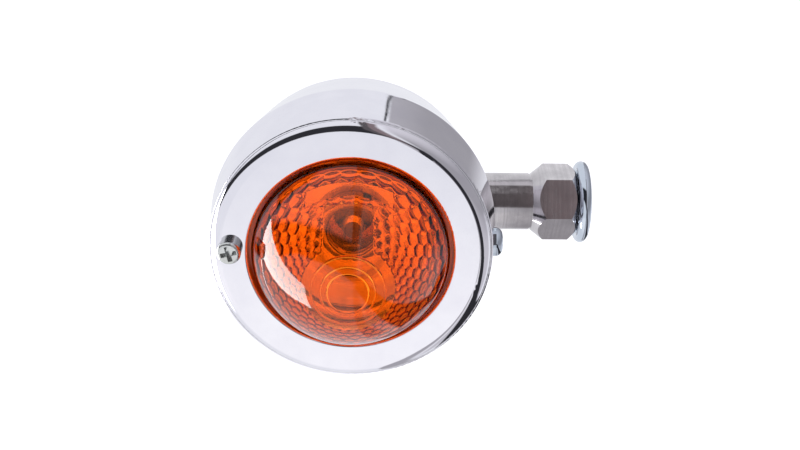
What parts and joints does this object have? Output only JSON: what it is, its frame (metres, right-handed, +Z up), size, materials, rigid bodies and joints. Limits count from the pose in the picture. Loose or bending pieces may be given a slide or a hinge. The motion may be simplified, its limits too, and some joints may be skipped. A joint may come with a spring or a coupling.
{
  "type": "turn signal indicator",
  "caption": "Round polished motorcycle turn signal with an amber dome lens, held out on a turned stem with a hexagon and a cup washer at its mounting end.",
  "frame": {"origin": "centre of the mounting washer's outer face, on the stem's axis", "axes": "+X along the stem towards the motorcycle, the lamp shines along -Y, +Z up"},
  "size_m": [0.0942, 0.0727, 0.0694],
  "materials": {
    "polished_aluminium": "polished",
    "turned_aluminium": "turned, satin",
    "amber_plastic": "clear amber, prismatic inside",
    "chromed_steel": "chromed",
    "zinc_steel": "zinc plated",
    "plated_steel": "zinc plated sheet",
    "reflector_metal": "vacuum metallised",
    "bulb_glass": "clear",
    "black_glass": "glossy",
    "tungsten": "dull",
    "brass": "satin",
    "solder": "satin",
    "fibre_board": "matte",
    "pale_silicone": "matte",
    "rubber": "matte"
  },
  "bodies": {
    "mount": {"mounting_washer": "chromed_steel"},
    "lamp": {"housing_shell": "polished_aluminium", "reflector": "reflector_metal", "socket_shell": "plated_steel", "socket_bracket": "plated_steel", "bracket_nut": "zinc_steel", "earth_terminal": "brass", "terminal_rivet": "zinc_steel", "socket_insulator": "fibre_board", "contact_spring": "zinc_steel", "stem_arm": "turned_aluminium", "stem_lock_washer": "zinc_steel", "stem_nut": "zinc_steel", "wire_grommet": "rubber"},
    "cover": {"bezel_ring": "polished_aluminium", "lens": "amber_plastic", "lens_gasket": "pale_silicone"},
    "ring_screw": {"bezel_screw": "zinc_steel"},
    "stem_side_screw": {"side_screw": "chromed_steel"},
    "bulb": {"bulb_glass": "bulb_glass", "bulb_base": "brass", "bulb_insulator": "black_glass", "bulb_contact": "solder", "filament_mount": "bulb_glass", "filament": "tungsten"},
    "plunger": {"contact_plunger": "brass", "live_terminal": "brass"}
  },
  "joints": [
    {"name": "aim_turn", "type": "hinge", "parent": "mount", "child": "lamp", "pos_m": [0, 0, 0], "axis": [1, 0, 0], "range_deg": [-60, 60]},
    {"name": "cover_lift", "type": "slide", "parent": "lamp", "child": "cover", "axis": [0, -1, 0], "range_m": [0, 0.03]},
    {"name": "bezel_screw_turn", "type": "hinge", "parent": "cover", "child": "ring_screw", "pos_m": [-0.08736, -0.033, 0.00146], "axis": [0, -1, 0], "continuous": true},
    {"name": "side_screw_turn", "type": "hinge", "parent": "lamp", "child": "stem_side_screw", "pos_m": [-0.0259, -0.021, -0.0017], "axis": [1, 0, 0], "continuous": true},
    {"name": "bulb_push", "type": "slide", "parent": "lamp", "child": "bulb", "axis": [0, 1, 0], "range_m": [0, 0.002], "stiffness_N_per_m": 600, "springref_m": -0.008},
    {"name": "contact_travel", "type": "slide", "parent": "lamp", "child": "plunger", "axis": [0, 1, 0], "range_m": [0, 0.002], "deforming": ["contact_spring"]}
  ],
  "couplings": [
    {"joint": "contact_travel", "follows": "bulb_push", "ratio": 1}
  ]
}
